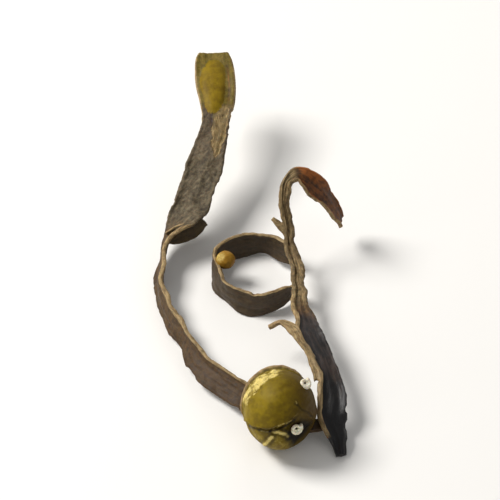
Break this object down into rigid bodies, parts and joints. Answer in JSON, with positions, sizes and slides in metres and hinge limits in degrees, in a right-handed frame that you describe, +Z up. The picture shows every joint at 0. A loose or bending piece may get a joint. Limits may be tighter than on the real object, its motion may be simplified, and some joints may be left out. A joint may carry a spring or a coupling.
{
  "type": "dried bladderwrack frond piece",
  "caption": "Dried forked seaweed blade with a round olive air bladder in its fork, a looped side branch and a flat bladder near the tip.",
  "frame": {"origin": "on the resting surface, under the middle of the frond's box", "axes": "+Z up from the surface, +Y from the cut base towards the far tip, +X to the right"},
  "size_m": [0.0236, 0.0612, 0.0126],
  "materials": {
    "dried_frond": "dry, wrinkled, half matt",
    "air_bladder": "smooth, satin, slightly translucent",
    "worm_shell": "chalky"
  },
  "bodies": {
    "root": {"frond": "dried_frond"}
  },
  "joints": []
}
